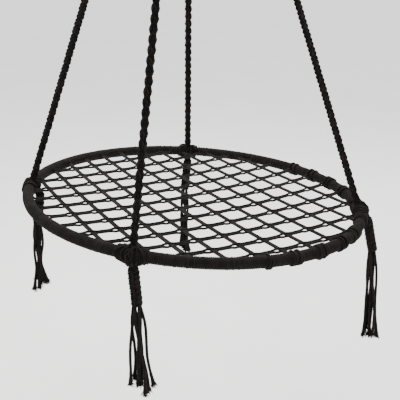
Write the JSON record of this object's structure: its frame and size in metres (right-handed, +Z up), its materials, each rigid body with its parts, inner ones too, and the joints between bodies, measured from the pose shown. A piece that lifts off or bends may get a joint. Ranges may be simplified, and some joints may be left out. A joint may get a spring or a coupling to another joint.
{
  "type": "saucer nest swing",
  "caption": "Round nest swing: a cord-wound hoop with a flat knotted net, hung by four braided ropes from one steel ring, with a tassel under each rope.",
  "frame": {"origin": "where a hook bears on the inside of the hanging ring's top", "axes": "+Z up, along the hang line; the ring lies in the XZ plane and -Y is the side the picture was taken from"},
  "size_m": [0.8565, 0.808, 1.6132],
  "materials": {
    "black_cord": "matt braided cotton cord",
    "ring_steel": "zinc plated",
    "tube_steel": "mill finish, hidden under the winding"
  },
  "bodies": {
    "hanging_ring": {"hanging_ring": "ring_steel"},
    "loops": {"rope_loops": "black_cord"},
    "crown": {"crown_knot": "black_cord", "crown_core": "black_cord", "crown_whipping": "black_cord"},
    "seat": {"hoop_knot_back": "black_cord", "hoop_knot_front": "black_cord", "hoop_knot_left": "black_cord", "hoop_knot_right": "black_cord", "hoop_tube": "tube_steel", "hoop_winding": "black_cord", "net_cord_falling_01": "black_cord", "net_cord_falling_02": "black_cord", "net_cord_falling_03": "black_cord", "net_cord_falling_04": "black_cord", "net_cord_falling_05": "black_cord", "net_cord_falling_06": "black_cord", "net_cord_falling_07": "black_cord", "net_cord_falling_08": "black_cord", "net_cord_falling_09": "black_cord", "net_cord_falling_10": "black_cord", "net_cord_falling_11": "black_cord", "net_cord_rising_01": "black_cord", "net_cord_rising_02": "black_cord", "net_cord_rising_03": "black_cord", "net_cord_rising_04": "black_cord", "net_cord_rising_05": "black_cord", "net_cord_rising_06": "black_cord", "net_cord_rising_07": "black_cord", "net_cord_rising_08": "black_cord", "net_cord_rising_09": "black_cord", "net_cord_rising_10": "black_cord", "net_cord_rising_11": "black_cord", "net_cord_rising_12": "black_cord", "net_hitches": "black_cord", "rope_back": "black_cord", "rope_front": "black_cord", "rope_left": "black_cord", "rope_right": "black_cord"},
    "tassel_left": {"tassel_neck_left": "black_cord"},
    "tassel_left_ends": {"tassel_ends_left": "black_cord"},
    "tassel_front": {"tassel_neck_front": "black_cord"},
    "tassel_front_ends": {"tassel_ends_front": "black_cord"},
    "tassel_back": {"tassel_neck_back": "black_cord"},
    "tassel_back_ends": {"tassel_ends_back": "black_cord"},
    "tassel_right": {"tassel_neck_right": "black_cord"},
    "tassel_right_ends": {"tassel_ends_right": "black_cord"}
  },
  "joints": [
    {"name": "fore_aft_swing", "type": "hinge", "parent": "hanging_ring", "child": "loops", "pos_m": [0, 0, -0.068], "axis": [1, 0, 0], "range_deg": [-40, 40]},
    {"name": "side_swing", "type": "hinge", "parent": "loops", "child": "crown", "pos_m": [0, 0, -0.104], "axis": [0, 1, 0], "range_deg": [-35, 35]},
    {"name": "seat_twist", "type": "hinge", "parent": "crown", "child": "seat", "pos_m": [0, 0, -0.154], "axis": [0, 0, 1], "range_deg": [-180, 180], "stiffness_Nm_per_rad": 0.12},
    {"name": "tassel_left_swing", "type": "hinge", "parent": "seat", "child": "tassel_left", "pos_m": [-0.36527, -0.01664, -1.21936], "axis": [0.0462, -0.9989, 0.0093], "range_deg": [-40, 40]},
    {"name": "tassel_left_sway", "type": "hinge", "parent": "tassel_left", "child": "tassel_left_ends", "pos_m": [-0.37727, -0.01664, -1.29136], "axis": [0.9989, 0.0462, 0], "range_deg": [-50, 50]},
    {"name": "tassel_front_swing", "type": "hinge", "parent": "seat", "child": "tassel_front", "pos_m": [-0.10862, -0.37141, -1.24384], "axis": [0.9567, -0.2823, -0.0708], "range_deg": [-40, 40]},
    {"name": "tassel_front_sway", "type": "hinge", "parent": "tassel_front", "child": "tassel_front_ends", "pos_m": [-0.10362, -0.37141, -1.32184], "axis": [0.283, 0.9591, 0], "range_deg": [-50, 50]},
    {"name": "tassel_back_swing", "type": "hinge", "parent": "seat", "child": "tassel_back", "pos_m": [-0.0347, 0.38564, -1.2594], "axis": [-0.9929, -0.0889, 0.0784], "range_deg": [-40, 40]},
    {"name": "tassel_back_sway", "type": "hinge", "parent": "tassel_back", "child": "tassel_back_ends", "pos_m": [-0.0447, 0.38564, -1.34339], "axis": [0.0892, -0.996, 0], "range_deg": [-50, 50]},
    {"name": "tassel_right_swing", "type": "hinge", "parent": "seat", "child": "tassel_right", "pos_m": [0.40624, -0.01209, -1.27946], "axis": [0.0286, 0.9995, -0.0152], "range_deg": [-40, 40]},
    {"name": "tassel_right_sway", "type": "hinge", "parent": "tassel_right", "child": "tassel_right_ends", "pos_m": [0.42324, -0.01209, -1.35946], "axis": [-0.9996, 0.0286, 0], "range_deg": [-50, 50]}
  ]
}
